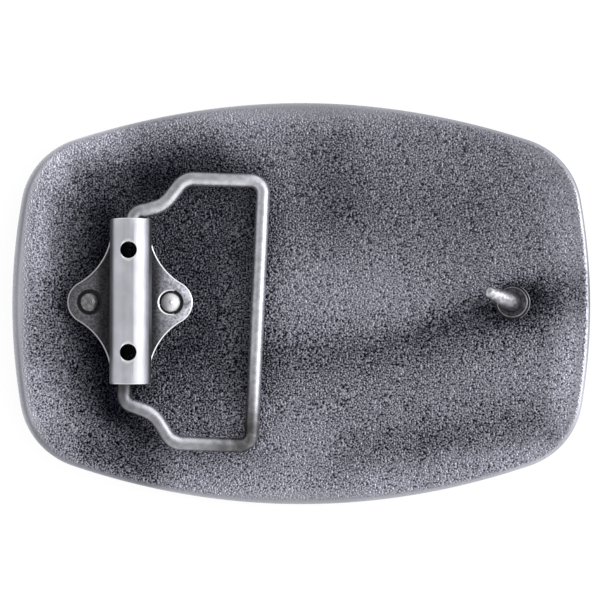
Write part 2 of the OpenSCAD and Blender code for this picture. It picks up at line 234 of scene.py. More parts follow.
def outline(inset):
    """Outline of the plate moved inward, as rows of x, y and outward direction."""
    end_centre = np.array([PLATE_LENGTH / 2 - END_EDGE_RADIUS, 0])
    long_centre = np.array([0, PLATE_HEIGHT / 2 - LONG_EDGE_RADIUS])
    corner = circles_meet(long_centre, LONG_EDGE_RADIUS - CORNER_RADIUS,
                          end_centre, END_EDGE_RADIUS - CORNER_RADIUS)
    end_turn = math.atan2(*(corner - end_centre)[::-1])
    long_turn = math.atan2(*(corner - long_centre)[::-1])
    stretches = [(end_centre, END_EDGE_RADIUS, 7 * OUTLINE_FINENESS),
                 (corner, CORNER_RADIUS, 4 * OUTLINE_FINENESS),
                 (long_centre, LONG_EDGE_RADIUS, 10 * OUTLINE_FINENESS),
                 (corner * [-1, 1], CORNER_RADIUS, 4 * OUTLINE_FINENESS)]
    arcs = []
    for flip, base in ((1, 0), (-1, np.pi)):
        turns = [base - end_turn, base + end_turn, base + long_turn,
                 base + np.pi - long_turn, base + np.pi - end_turn]
        arcs += [arc(flip * centre, radius - inset, start, stop, steps)
                 for (centre, radius, steps), start, stop in zip(stretches, turns, turns[1:])]
    return np.concatenate(arcs)


def edge_share(x, y):
    """Share of the way from the middle of the plate to its edge."""
    return (np.abs(2 * x / PLATE_LENGTH) ** RIM_SQUARENESS
            + np.abs(2 * y / PLATE_HEIGHT) ** RIM_SQUARENESS) ** (1 / RIM_SQUARENESS)


def turn_up(share):
    """Share of the rim's rise at a share of the way to the edge."""
    return np.maximum(0, (share - RIM_START) / (1 - RIM_START)) ** 2


def mid_height(x, y):
    """Height of the middle of the casting's wall."""
    bend = x * x / (2 * BEND_ALONG) + y * y / (2 * BEND_ACROSS)
    return PLATE_THICKNESS / 2 + bend + RIM_RISE * turn_up(edge_share(x, y))


def half_wall(share):
    """Half of the casting's thickness, which falls towards its edge."""
    return PLATE_THICKNESS / 2 - (PLATE_THICKNESS - EDGE_THICKNESS) / 2 * turn_up(share)


def plate_normal(x, y):
    """Direction square to the casting's wall, towards its back."""
    step = 0.01 * MM
    along = (mid_height(x + step, y) - mid_height(x - step, y)) / (2 * step)
    across = (mid_height(x, y + step) - mid_height(x, y - step)) / (2 * step)
    normal = np.stack([-along, -across, np.ones_like(along)], -1)
    return normal / np.linalg.norm(normal, axis=-1, keepdims=True)


def wall_point(x, y, height):
    """Point at a height above the middle of the wall."""
    return np.stack([x, y, mid_height(x, y)], -1) + plate_normal(x, y) * height


def on_plate(x):
    """Frame on the back of the plate, at a place on its middle line and square to the surface."""
    normal = plate_normal(np.array(x), np.array(0.0))
    spot = wall_point(np.array(x), np.array(0.0), PLATE_THICKNESS / 2)
    return Matrix.Translation(Vector(spot)) @ Matrix.Rotation(math.atan2(normal[0], normal[2]), 4, "Y")


# Meshes

def make_mesh(name, materials, points, faces, face_slots=None):
    """Mesh of points and faces with its materials, and a material slot for each face."""
    mesh = bpy.data.meshes.new(name)
    mesh.from_pydata([tuple(point) for point in points], [], faces)
    for material in materials:
        mesh.materials.append(material)
    if face_slots is not None:
        mesh.polygons.foreach_set("material_index", face_slots)
    return mesh


def new_object(name, data):
    """Object of a mesh, lamp or camera, in the scene."""
    thing = bpy.data.objects.new(name, data)
    bpy.context.scene.collection.objects.link(thing)
    return thing


def make_piece(name, mesh, body, node):
    """Object of a mesh in the frame that stands for a node and rides on its body."""
    mesh.shade_smooth()
    mesh.set_sharp_from_angle(angle=SHARP_ANGLE)
    piece = new_object(name, mesh)
    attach(piece, body)
    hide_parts(node)


def carve(mesh, tool, operation):
    """Mesh that is left when a tool's mesh is added to it or cut from it."""
    base = new_object("carved", mesh)
    other = new_object("tool", tool)
    modifier = base.modifiers.new("carve", "BOOLEAN")
    modifier.operation = operation
    modifier.solver = "EXACT"
    modifier.object = other
    seen = base.evaluated_get(bpy.context.evaluated_depsgraph_get())
    result = bpy.data.meshes.new_from_object(seen)
    for thing in (base, other):
        bpy.data.objects.remove(thing)
    for old in (mesh, tool):
        bpy.data.meshes.remove(old)
    return result


def give(mesh, name, values):
    """Named value at each point of a mesh, for its material."""
    mesh.attributes.new(name, "FLOAT", "POINT").data.foreach_set("value", np.asarray(values, np.float32))


def ring_faces(rings, count, closed=False):
    """Quads between rings of points that follow each other."""
    faces = []
    total = rings * count
    for ring in range(rings if closed else rings - 1):
        for i in range(count):
            a = ring * count + i
            b = ring * count + (i + 1) % count
            faces.append((a, b, (b + count) % total, (a + count) % total))
    return faces


def capped_faces(rings, count):
    """Quads between rings of points, then a face at the first ring and one at the last."""
    first, last = range(count), range((rings - 1) * count, rings * count)
    return ring_faces(rings, count) + [tuple(reversed(first)), tuple(last)]


def join(solids):
    """Points, faces and material slots of several solids, for one mesh."""
    points, faces, slots = [], [], []
    for more_points, more_faces, more_slots in solids:
        faces += [tuple(len(points) + i for i in face) for face in more_faces]
        points += more_points
        slots += more_slots
    return points, faces, slots


def lathe(profile, place, sides=LATHE_SIDES, closed=False):
    """Points and faces of a profile of (radius, height), from below, turned about the local Z axis."""
    turns = (np.arange(sides) + 0.5) * 2 * np.pi / sides
    points = [place @ Vector((radius * math.cos(turn), radius * math.sin(turn), height))
              for radius, height in profile for turn in turns]
    if closed:
        return points, ring_faces(len(profile), sides, closed=True)
    return points, capped_faces(len(profile), sides)


def facing(sides):
    """How far each side of a lathe faces along the local X axis, from -1 to 1."""
    return np.cos((np.arange(sides) + 1) * 2 * np.pi / sides)


def sweep(line, radii, sides=WIRE_SIDES):
    """Points and faces of a round rod along a line of points, with a radius at each point."""
    upright = 0.9
    line = np.array(line)
    tangents = np.gradient(line, axis=0)
    tangents /= np.linalg.norm(tangents, axis=1, keepdims=True)
    side = np.cross(tangents[0], [0, 0, 1] if abs(tangents[0][2]) < upright else [1, 0, 0])
    turns = np.linspace(0, 2 * np.pi, sides, endpoint=False)[:, None]
    points = []
    for spot, ahead, radius in zip(line, tangents, radii):
        side = side - ahead * (side @ ahead)
        side /= np.linalg.norm(side)
        up = np.cross(ahead, side)
        points.extend(spot + radius * (np.cos(turns) * side + np.sin(turns) * up))
    return points, capped_faces(len(line), sides)


def round_profile(centre, radius, start, stop, steps):
    """Points of an arc in a lathe's profile, by angle from the outward direction."""
    return [(centre[0] + radius * math.cos(turn), centre[1] + radius * math.sin(turn))
            for turn in np.linspace(start, stop, steps)]


def soft(value, low, high):
    """Smooth step from 0 at low to 1 at high."""
    share = np.clip((value - low) / (high - low), 0, 1)
    return share * share * (3 - 2 * share)


def from_stroke(x, y, start, stop):
    """Distance from a straight stroke."""
    start, along = np.array(start), np.array(stop) - np.array(start)
    share = np.clip(((x - start[0]) * along[0] + (y - start[1]) * along[1]) / (along @ along), 0, 1)
    return np.hypot(x - start[0] - share * along[0], y - start[1] - share * along[1])


# Nodes of the materials

def new_material(name):
    """New material with its node tree and its shader."""
    material = bpy.data.materials.new(name)
    material.use_nodes = True
    tree = material.node_tree
    return material, tree, tree.nodes["Principled BSDF"]


def put(tree, socket, value):
    """Value of an input, which is linked if it is a socket."""
    if isinstance(value, bpy.types.NodeSocket):
        tree.links.new(value, socket)
    else:
        socket.default_value = value


def add(tree, kind, inputs=None, **settings):
    """New node with its settings and inputs."""
    node = tree.nodes.new(kind)
    for name, value in settings.items():
        setattr(node, name, value)
    for name, value in (inputs or {}).items():
        put(tree, node.inputs[name], value)
    return node


def math_node(tree, operation, a, b=0.0):
    return add(tree, "ShaderNodeMath", {0: a, 1: b}, operation=operation).outputs[0]


def object_place(tree):
    return add(tree, "ShaderNodeTexCoord").outputs["Object"]


def coordinate(tree, place, axis):
    return add(tree, "ShaderNodeSeparateXYZ", {0: place}).outputs[axis]


def attribute(tree, name):
    return add(tree, "ShaderNodeAttribute", attribute_name=name).outputs["Fac"]


def noise_node(tree, place, scale, detail):
    return add(tree, "ShaderNodeTexNoise", {"Vector": place, "Scale": scale, "Detail": detail}).outputs["Fac"]


def spread(tree, value, low, high, to_low=0.0, to_high=1.0, smooth=True):
    """Value mapped from one range to another, clamped."""
    ranges = {"Value": value, "From Min": low, "From Max": high, "To Min": to_low, "To Max": to_high}
    kind = "SMOOTHSTEP" if smooth else "LINEAR"
    return add(tree, "ShaderNodeMapRange", ranges, interpolation_type=kind).outputs["Result"]


def mix_colour(tree, share, a, b, blend="MIX"):
    """Mix of two colours, by the sockets that the node keeps for colours."""
    first, second, result = 6, 7, 2
    inputs = {"Factor": share, first: a, second: b}
    return add(tree, "ShaderNodeMix", inputs, data_type="RGBA", blend_type=blend).outputs[result]


def times(tree, colour, factor):
    return mix_colour(tree, 1.0, colour, factor, "MULTIPLY")


def bump(tree, height, distance, strength):
    settings = {"Height": height, "Distance": distance, "Strength": strength}
    return add(tree, "ShaderNodeBump", settings).outputs[0]


def make_metal(tree, shader, colour, rough, normal):
    """Metal shader with its colour, roughness and bumped normal."""
    put(tree, shader.inputs["Base Color"], colour)
    shader.inputs["Metallic"].default_value = 1.0
    put(tree, shader.inputs["Roughness"], rough)
    put(tree, shader.inputs["Normal"], normal)


def greys(levels, tint):
    """Colours of some levels, bluer as the tint rises above 1."""
    return [(level * (2 - tint) ** 0.5, level * (2 - tint) ** 0.5, level * tint, 1) for level in levels]


# Materials

def cast_back():
    """Antique cast metal: fine grain with dark recesses, deeper where the dark finish was not brushed off,
    with painted shadows and highlights.
    """
    grain_scale, cloud_scale = 3450, 45
    cloud_levels, rim_levels = (0.185, 0.235), (0.25, 0.33)
    cloud_tint, rim_tint = 1.10, 1.07
    lower_contrast, upper_contrast = 0.98, 0.86
    dark_exponent, least_exponent = 1.9, 0.6
    rough_hollow, rough_peak, rim_polish = 0.60, 0.42, 0.12
    grain_height = 0.25 * MM
    blue_cast = (0.0, 0.0, 0.005, 1)
    material, tree, shader = new_material("antique_cast_metal")
    place = object_place(tree)
    rim = attribute(tree, "rim")
    level = attribute(tree, "finish_and_painted_light")
    grain = noise_node(tree, place, grain_scale, detail=0.0)
    cloud = noise_node(tree, place, cloud_scale, detail=3.0)
    contrast = spread(tree, coordinate(tree, place, "Y"), -5 * MM, 15 * MM, lower_contrast, upper_contrast)
    swing = math_node(tree, "MULTIPLY", spread(tree, grain, 0.26, 0.74, -1.0, 1.0, smooth=False), contrast)
    exponent = math_node(tree, "MAXIMUM", math_node(tree, "SUBTRACT", dark_exponent, level), least_exponent)
    peaks = math_node(tree, "POWER", math_node(tree, "ADD", swing, 1.0), exponent)
    clouded = mix_colour(tree, cloud, *greys(cloud_levels, cloud_tint))
    smooth_rim = mix_colour(tree, grain, *greys(rim_levels, rim_tint))
    finish = mix_colour(tree, rim, times(tree, clouded, peaks), smooth_rim)
    colour = mix_colour(tree, 1.0, times(tree, finish, level), blue_cast, "ADD")
    rough = spread(tree, grain, *MOST_NOISE, rough_hollow, rough_peak)
    rough = math_node(tree, "SUBTRACT", rough, math_node(tree, "MULTIPLY", rim, rim_polish))
    height = math_node(tree, "SUBTRACT", grain, 0.5)
    height = math_node(tree, "MULTIPLY", height, math_node(tree, "SUBTRACT", 1.0, rim))
    make_metal(tree, shader, colour, rough, bump(tree, height, grain_height, strength=1.0))
    return material


def polished_front():
    """Domed front: smooth antique nickel with fine rubbing marks."""
    cloud_scale, speck_scale = 60, 5000
    levels, tint = (0.30, 0.46), 1.04
    rough_low, rough_high = 0.30, 0.42
    speck_height = 0.01 * MM
    material, tree, shader = new_material("polished_antique_nickel")
    place = object_place(tree)
    cloud = noise_node(tree, place, cloud_scale, detail=4.0)
    speck = noise_node(tree, place, speck_scale, detail=2.0)
    colour = mix_colour(tree, cloud, *greys(levels, tint))
    rough = spread(tree, speck, *MOST_NOISE, rough_low, rough_high)
    make_metal(tree, shader, colour, rough, bump(tree, speck, speck_height, strength=0.5))
    return material


def nickel(name, levels, tint, rough, depth, cloud_scale=260, stretch=(1, 1, 1), shade=None):
    """Nickel plate with clouded wear and a fine grain, which may be stretched one way."""
    speck_scale = 4200
    cloud_share, speck_share = 0.6, 0.4
    material, tree, shader = new_material(name)
    place = object_place(tree)
    drawn = add(tree, "ShaderNodeVectorMath", {0: place, 1: stretch}, operation="MULTIPLY").outputs[0]
    cloud = spread(tree, noise_node(tree, place, cloud_scale, detail=4.0), 0.35, 0.65)
    speck = noise_node(tree, drawn, speck_scale, detail=2.0)
    share = math_node(tree, "ADD", math_node(tree, "MULTIPLY", cloud, cloud_share),
                      math_node(tree, "MULTIPLY", speck, speck_share))
    colour = mix_colour(tree, share, *greys(levels, tint))
    if shade:
        colour = shade(tree, place, colour)
    normal = bump(tree, speck, depth, strength=0.6)
    make_metal(tree, shader, colour, spread(tree, speck, *MOST_NOISE, *rough), normal)
    return material


def tube_shade(tree, place, colour):
    """Painted shade low on both sides of the barrel, where it faces the darker ears and plate, less of it on
    the left near the lower end.
    """
    left_foot, left_top = HINGE_FOOT - 2.35 * MM, HINGE_FOOT - 1.75 * MM
    right_top, right_foot = HINGE_FOOT + 3.55 * MM, HINGE_FOOT + 3.9 * MM
    left_level_at_end, left_level, right_level = 0.75, 0.40, 0.32
    x, y = coordinate(tree, place, "X"), coordinate(tree, place, "Y")
    left_shade = spread(tree, y, -12 * MM, -8 * MM, left_level_at_end, left_level)
    left = spread(tree, x, left_foot, left_top, left_shade, 1.0)
    right = spread(tree, x, right_top, right_foot, 1.0, right_level)
    return times(tree, colour, math_node(tree, "MULTIPLY", left, right))


def ear_shade(tree, place, colour):
    """Mottled dark finish with painted shade, darkest beside the barrel and on the left ear, which the barrel
    shades, and brighter towards the end of the right ear.
    """
    mottle_scale = 2600
    left_end, left_root = HINGE_FOOT - 6.05 * MM, HINGE_FOOT - 4.15 * MM
    right_root, right_end = HINGE_FOOT + 4.15 * MM, HINGE_FOOT + 8.05 * MM
    left_levels, right_levels, mottle_levels = (0.23, 0.06), (0.0, 0.86), (0.55, 1.45)
    x = coordinate(tree, place, "X")
    left = spread(tree, x, left_end, left_root, *left_levels)
    right = spread(tree, x, right_root, right_end, *right_levels)
    patches = noise_node(tree, place, mottle_scale, detail=1.0)
    mottle = spread(tree, patches, *MOST_NOISE, *mottle_levels, smooth=False)
    return times(tree, colour, math_node(tree, "MULTIPLY", math_node(tree, "ADD", left, right), mottle))


def edge_shade(tree, place, colour):
    """Edges worn bright, with painted shade dulling them on the ear towards the end of the plate, which the
    barrel shades.
    """
    shaded_up_to, bright_from = HINGE_FOOT - 3.05 * MM, HINGE_FOOT - 2.65 * MM
    shaded_level = 0.55
    x = coordinate(tree, place, "X")
    return times(tree, colour, spread(tree, x, shaded_up_to, bright_from, shaded_level, 1.0))


def prong_shade(tree, place, colour):
    """Darker at the foot of the prong, with a ragged border."""
    patch_scale, patch_reach = 1500, 2 * MM
    bright_up_to, dark_from = PRONG_FOOT - 1.95 * MM, PRONG_FOOT + 0.65 * MM
    dark_level = 0.42
    patches = math_node(tree, "MULTIPLY", noise_node(tree, place, patch_scale, detail=2.0), patch_reach)
    ragged = math_node(tree, "ADD", coordinate(tree, place, "X"), patches)
    return times(tree, colour, spread(tree, ragged, bright_up_to, dark_from, 1.0, dark_level))


def wire_shade(tree, place, colour):
    """Sides that the strap has rubbed bright, dull legs, and a brown tarnish at one corner."""
    patch_scale, thinnest = 700, 0.6
    brown = (0.055, 0.050, 0.047, 1)
    worn = times(tree, colour, attribute(tree, "wear"))
    patches = spread(tree, noise_node(tree, place, patch_scale, detail=3.0), 0.25, 0.6, thinnest, 1.0)
    share = math_node(tree, "MULTIPLY", attribute(tree, "tarnish"), patches)
    return mix_colour(tree, share, worn, brown)


cast_metal = cast_back()
polished_metal = polished_front()
tube_nickel = nickel("satin_nickel", levels=(0.54, 0.70), tint=1.06, rough=(0.42, 0.52), depth=0.012 * MM,
                     stretch=(1, 0.03, 1), shade=tube_shade)
ear_nickel = nickel("dark_satin_nickel_painted_shade", levels=(0.50, 0.64), tint=1.08, rough=(0.34, 0.46), depth=0.015 * MM,
                    shade=ear_shade)
worn_and_lit_edge = nickel("worn_and_lit_edge_nickel", levels=(0.80, 0.92), tint=1.02, rough=(0.24, 0.34), depth=0.01 * MM,
                   shade=edge_shade)
worn_and_lit_rim = nickel("worn_and_lit_rim_nickel", levels=(0.12, 0.34), tint=1.04, rough=(0.26, 0.38), depth=0.02 * MM,
                  cloud_scale=700)
dark_recess = nickel("dark_recess", levels=(0.025, 0.05), tint=1.05, rough=(0.45, 0.60), depth=0.02 * MM)
wire_nickel = nickel("wire_nickel", levels=(0.48, 0.74), tint=1.06, rough=(0.33, 0.45), depth=0.02 * MM,
                     cloud_scale=900, shade=wire_shade)
# The left rivet is the darker copy: patina with painted shade, as the barrel shades it from the lamp on the
# right
rivet_dark = nickel("rivet_dark_nickel", levels=(0.10, 0.36), tint=1.02, rough=(0.26, 0.40), depth=0.05 * MM,
                    cloud_scale=1300)
rivet_bright = nickel("rivet_bright_nickel", levels=(0.64, 0.88), tint=1.02, rough=(0.40, 0.52),
                      depth=0.02 * MM, cloud_scale=700)
prong_nickel = nickel("prong_nickel", levels=(0.26, 0.80), tint=1.04, rough=(0.30, 0.46), depth=0.05 * MM,
                      cloud_scale=1500, stretch=(0.3, 1, 0.5), shade=prong_shade)
collar_nickel = nickel("collar_dark_nickel", levels=(0.05, 0.36), tint=1.05, rough=(0.30, 0.44),
                       depth=0.03 * MM, cloud_scale=800)


# Plate

def sweep_shade(x, y):
    """Long dark sweep from the right end past the prong to the hinge, by place in mm."""
    off = y - np.interp(x, [-8, 12, 23, 34, 41, 45.6], [-9.6, -7.6, -3.8, -0.2, 0.3, 2.4])
    above = np.interp(x, [6, 18, 27, 34, 40], [3.5, 2.5, 2.6, 2.0, 3.6])
    below = np.interp(x, [10, 22, 38, 44], [4.4, 6.0, 6.0, 4.8])
    depth = np.interp(x, [-12, -7, 12, 22, 32, 41, 45.6], [0, 0.50, 0.48, 0.64, 0.70, 0.70, 0.35])
    return 1 - depth * np.exp(-(off / np.where(off > 0, above, below)) ** 2)


def finish_and_painted_light(x, y):
    """Share of the bare grain's brightness: less where the brush did not reach, with painted shadows, and
    more along the edge as painted highlights.
    """
    hinge_darkness = 0.74
    share = edge_share(x, y)
    x, y = x / MM, y / MM
    near_hinge = soft(x, -47, -35) * (1 - soft(x, -9.5, -1.0)) * soft(y, -32, -6) * (1 - soft(y, 21, 29))
    # Painted highlights where the rising edge faces the light: the rim band, the left end's edge and the
    # right end's edge low down, dimmed higher up
    rim_gain = 0.45 - 0.33 * soft(-x, 36, 44)
    right_gain = (0.60 * soft(-y, 6, 20) - 0.20) * soft(x, 24, 40)
    left_gain = 0.4 * soft(-x, 40, 46)
    level = 1 - hinge_darkness * near_hinge
    for gain, start, full in ((rim_gain, 0.8, 0.97), (right_gain, 0.972, 0.99), (left_gain, 0.968, 0.984)):
        level = level * (1 + gain * soft(share, start, full))
    for marks in MARKS.values():
        for start, stop, width, depth in marks:
            level = level * (1 - depth * np.exp(-(from_stroke(x, y, start, stop) / width) ** 2))
    return level * sweep_shade(x, y)


def smoothed(x, y):
    """Share by which the grain fades into the smooth rim: clearly at the left end, softly elsewhere."""
    share = edge_share(x, y)
    left, right = soft(-x, 36 * MM, 44 * MM), soft(x, 36 * MM, 44 * MM)
    corner = 0.15 + 0.45 * soft(np.abs(y), 6 * MM, 14 * MM)
    left_band = left * soft(share, 0.93, 0.972)
    right_band = right * corner * soft(share, 0.93, 0.985)
    long_band = np.where(y > 0, 0.85 * soft(share, 0.87, 1.0), 0.75 * soft(share, 0.90, 1.0))
    return left_band + right_band + (1 - left) * (1 - right) * long_band


def pads():
    """Raised pads under the rivets and the prong, as points, faces and material slots."""
    sunk = 0.5 * MM
    fillet_share, fillet_start, fillet_steps = 0.5, 0.2, 6
    lit_from = 0.5
    hinge = on_plate(HINGE_FOOT)
    kinds = [(hinge @ Matrix.Translation((side * RIVET_SPACING / 2, 0, 0)),
              PAD_RADIUS, PAD_HEIGHT, CAST, CAST) for side in (-1, 1)]
    kinds.append((on_plate(PRONG_FOOT), PRONG_PAD_RADIUS, PRONG_PAD_HEIGHT, LIT_PAD_SIDE, RECESS))
    solids = []
    for place, radius, height, lit_side_slot, top_slot in kinds:
        fillet = fillet_share * height
        middle = (radius - fillet, height - fillet)
        profile = [(radius, -sunk), (radius, height - fillet)]
        profile += round_profile(middle, fillet, fillet_start, np.pi / 2, fillet_steps)
        # Painted highlight: the prong pad's side that faces the lamp on the right takes the brighter rim
        # finish
        worn = np.where(facing(LATHE_SIDES) > lit_from, lit_side_slot, CAST)
        slots = [CAST] * LATHE_SIDES + np.tile(worn, len(profile) - 2).tolist() + [CAST, top_slot]
        solids.append((*lathe(profile, place), slots))
    return join(solids)


def edge_rings(edge, turns):
    """Rings of points round the rounded edge of the casting, at angles above its middle."""
    level = np.column_stack([np.cos(edge[:, 2]), np.sin(edge[:, 2]), np.zeros(len(edge))])
    normal = plate_normal(edge[:, 0], edge[:, 1])
    out = level - normal * np.sum(level * normal, 1, keepdims=True)
    out /= np.linalg.norm(out, axis=1, keepdims=True)
    middle = np.column_stack([edge[:, 0], edge[:, 1], mid_height(edge[:, 0], edge[:, 1])])
    return [middle + EDGE_THICKNESS / 2 * (math.cos(turn) * out + math.sin(turn) * normal) for turn in turns]


def plate_skin():
    """Casting without its pads: points, faces, material slots and each point's share of the smooth edge."""
    field_rings, rim_rings, round_steps, front_rings = 60, 36, 14, 32
    smooth_from_turn, smooth_at_turn = -1.35, -0.9
    edge = outline(EDGE_THICKNESS / 2)
    count = len(edge)
    back_shares = np.concatenate([np.linspace(0, RIM_START, field_rings + 1)[1:],
                                  np.linspace(RIM_START, 1, rim_rings + 1)[1:]])
    front_shares = np.linspace(1, 0, front_rings + 1)[:-1]
    turns = np.linspace(np.pi / 2, -np.pi / 2, round_steps + 1)[1:-1]
    rings = [wall_point(edge[:, 0] * share, edge[:, 1] * share, half_wall(share)) for share in back_shares]
    rings += edge_rings(edge, turns)
    rings += [wall_point(edge[:, 0] * share, edge[:, 1] * share, -half_wall(share)) for share in front_shares]
    tips = [wall_point(np.zeros(1), np.zeros(1), side * PLATE_THICKNESS / 2) for side in (1, -1)]
    points = np.concatenate(rings + tips) * [PLAN_SCALE, PLAN_SCALE, 1]
    back_tip, front_tip = len(points) - 2, len(points) - 1
    last_ring = back_tip - count
    faces = [tuple(reversed(face)) for face in ring_faces(len(rings), count)]
    back_count = (len(back_shares) + round_steps // 2) * count
    slots = [CAST] * back_count + [POLISHED] * (len(faces) - back_count)
    faces += [(back_tip, i, (i + 1) % count) for i in range(count)]
    faces += [(front_tip, last_ring + (i + 1) % count, last_ring + i) for i in range(count)]
    slots += [CAST] * count + [POLISHED] * count
    edge_smoothness = soft(-turns, smooth_from_turn, smooth_at_turn)
    ring_smoothness = np.concatenate([np.zeros(len(back_shares)), edge_smoothness, np.ones(front_rings)])
    smoothness = np.append(np.repeat(ring_smoothness, count), [0, 1])
    return points, faces, slots, smoothness


def build_plate():
    """Casting with its pads, and the finish and painted light of its back as values at its points."""
    finishes = [cast_metal, polished_metal, worn_and_lit_rim, dark_recess]
    points, faces, slots, smoothness = plate_skin()
    skin = make_mesh("cast_plate", finishes, points, faces, slots)
    give(skin, "rim", np.maximum(smoothness, smoothed(points[:, 0], points[:, 1])))
    mesh = carve(skin, make_mesh("pads", finishes, *pads()), "UNION")
    mesh.name = "cast_plate"
    spots = np.empty(3 * len(mesh.vertices))
    mesh.vertices.foreach_get("co", spots)
    give(mesh, "finish_and_painted_light", finish_and_painted_light(spots[0::3], spots[1::3]))
    make_piece("cast_plate", mesh, "buckle", "plate")


build_plate()


# Bail

def bent_line(corners, bends, step=math.radians(5), fewest_steps=4, stride=1 * MM):
    """Points along a flat line of corners, each bent to its radius."""
    corners = [np.array(corner, float) for corner in corners]
    points = [corners[0]]
    for before, corner, after, bend in zip(corners, corners[1:], corners[2:], bends[1:]):
        arriving = (corner - before) / np.linalg.norm(corner - before)
        leaving = (after - corner) / np.linalg.norm(after - corner)
        turn = math.atan2(arriving[0] * leaving[1] - arriving[1] * leaving[0], arriving @ leaving)
        trim = bend * math.tan(abs(turn) / 2)
        start = corner - trim * arriving
        inward = math.copysign(1, turn) * np.array([-arriving[1], arriving[0]])
        centre = start + bend * inward
        steps = max(fewest_steps, round(abs(turn) / step))
        points += [centre + bend * (math.sin(part) * arriving - math.cos(part) * inward)
                   for part in np.linspace(0, abs(turn), steps + 1)]
    points.append(corners[-1])
    filled = [points[0]]
    for before, after in zip(points, points[1:]):
        parts = max(1, math.ceil(np.linalg.norm(after - before) / stride))
        filled += [before + (after - before) * i / parts for i in range(1, parts + 1)]
    return np.array(filled)


def bail_place():
    """Frame of the bail, slid and skewed in its pivot, with its far bar let down to just above the plate."""
    stations = 9
    axis = Vector(frame["joints"][0]["pos_m"])
    drops = []
    for along in np.linspace(-ARM_HEIGHT, ARM_HEIGHT, stations):
        reach = BAIL_OFFSET + BAIL_REACH * math.cos(BAIL_SKEW) + along * math.sin(BAIL_SKEW)
        y = BAIL_SLIDE - BAIL_REACH * math.sin(BAIL_SKEW) + along * math.cos(BAIL_SKEW)
        back = wall_point(np.array(axis.x + reach), np.array(y), PLATE_THICKNESS / 2)[2]
        drops.append(math.asin((axis.z - back - WIRE_RADIUS - BAIL_GAP) / reach))
    return (Matrix.Translation(axis) @ Matrix.Rotation(min(drops), 4, "Y")
            @ Matrix.Translation((BAIL_OFFSET, BAIL_SLIDE, 0)) @ Matrix.Rotation(-BAIL_SKEW, 4, "Z"))


def bail_line(place):
    """Centre line of the wire, from the end of the upper leg to that of the lower."""
    half = [(0, NECK_HEIGHT - LEG_LENGTH), (0, NECK_HEIGHT),
            (ARM_RUN, NECK_HEIGHT + ARM_RUN * math.tan(ARM_ANGLE)),
            (ARM_RUN + FLARE_RUN, ARM_HEIGHT), (BAIL_REACH, ARM_HEIGHT)]
    bends = [0, LEG_BEND, HOLLOW_BEND, SHOULDER_BEND, CORNER_BEND]
    upper = half[:-1] + [(BAIL_REACH, ARM_HEIGHT + BAR_SPREAD)]
    flat = bent_line(upper + [(x, -y) for x, y in reversed(half)], bends + bends[::-1])
    return np.array([place @ Vector((x, y, 0)) for x, y in flat])


def wire_wear(points, middles, place):
    """Share of the wire's brightness: more inside the arms, less left of the lower bends and at the legs."""
    plain, inner_gain, outer_loss = 0.92, 0.42, 0.27
    bar_loss, flare_loss = 0.55, 0.65
    lower_leg = -12.8 * MM
    x, y = middles[:, 0], middles[:, 1]
    inward = -np.sign(y) * (points - middles)[:, 1] / WIRE_RADIUS
    leftward = x - points[:, 0]
    arms = soft(np.abs(y), 13 * MM, 19 * MM) * soft(-x, 8 * MM, 11 * MM)
    lower_bar = soft(x, -13 * MM, -11 * MM) * soft(-y, 6 * MM, 17 * MM)
    lower_flare = soft(-y, 14 * MM, 17 * MM) * soft(-x, 18 * MM, 20 * MM)
    wear = plain + arms * (inner_gain * soft(inward, -0.1, 0.6) - outer_loss)
    wear = wear * (1 - bar_loss * lower_bar * soft(leftward, -0.3 * MM, 0.8 * MM))
    wear = wear * (1 - flare_loss * lower_flare * soft(leftward, 0.1 * MM, 1.0 * MM))
    for leg, dullest, reach in ((NECK_HEIGHT, 0.6, 6 * MM), (lower_leg, 0.10, 7 * MM)):
        away = np.linalg.norm(middles - np.array(place @ Vector((0, leg, 0))), axis=1)
        wear = wear * (dullest + (1 - dullest) * soft(away, -1 * MM, reach))
    return wear


def wire_tarnish(middles, place):
    """Share of brown tarnish on the wire, round its lower corner."""
    strongest, width = 0.9, 5.2 * MM
    corner = np.array(place @ Vector((BAIL_REACH, -ARM_HEIGHT, 0)))[:2]
    start, stop = corner + [-2.5 * MM, 0.5 * MM], corner + [0, 2.2 * MM]
    return strongest * np.exp(-(from_stroke(middles[:, 0], middles[:, 1], start, stop) / width) ** 2)


def build_bail():
    """Wire loop in its pose at rest, with its wear and tarnish as values at its points."""
    place = bail_place()
    line = bail_line(place)
    points, faces = sweep(line, [WIRE_RADIUS] * len(line))
    middles = np.repeat(line, WIRE_SIDES, axis=0)
    mesh = make_mesh("bail_wire", [wire_nickel], points, faces)
    give(mesh, "wear", wire_wear(np.array(points), middles, place))
    give(mesh, "tarnish", wire_tarnish(middles, place))
    make_piece("bail_wire", mesh, "bail", "bail")


build_bail()


# Rivets, prong and collar

